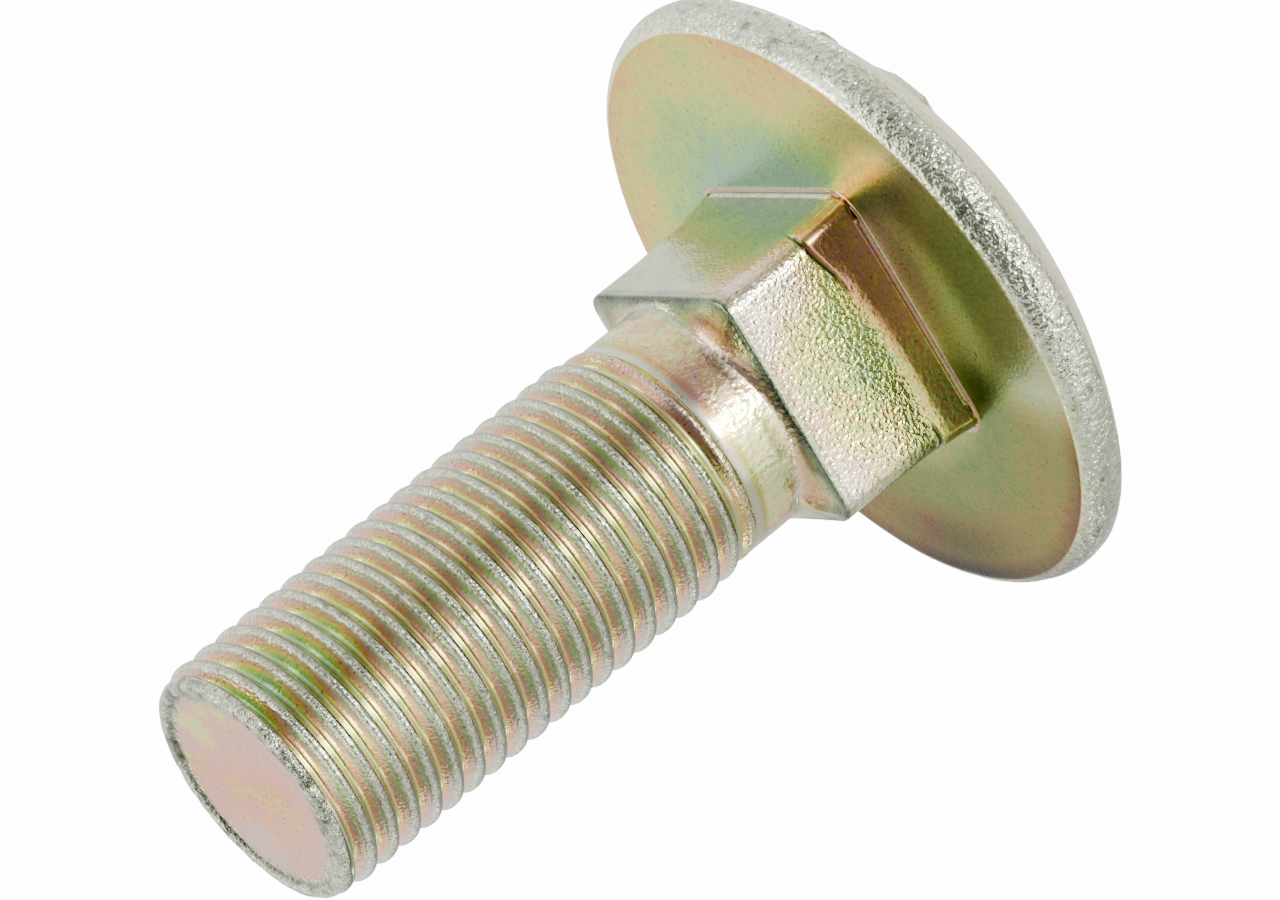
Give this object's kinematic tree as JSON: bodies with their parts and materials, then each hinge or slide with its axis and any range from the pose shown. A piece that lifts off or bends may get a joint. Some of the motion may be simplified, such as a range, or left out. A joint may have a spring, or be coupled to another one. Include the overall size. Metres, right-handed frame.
{
  "type": "carriage bolt",
  "caption": "Mushroom head bolt with a square neck and a fine rolled thread, in yellow passivated zinc plate.",
  "frame": {"origin": "middle of the crown of the head, where the bolt stands on a flat surface", "axes": "+Z along the bolt from the crown of the head to the tip; +X and +Y square to the flats of the neck"},
  "size_m": [0.0302, 0.0302, 0.042],
  "materials": {
    "zinc_plate": "yellow passivated zinc plate on forged and rolled steel, satin"
  },
  "bodies": {
    "root": {"carriage_bolt": "zinc_plate"}
  },
  "joints": []
}
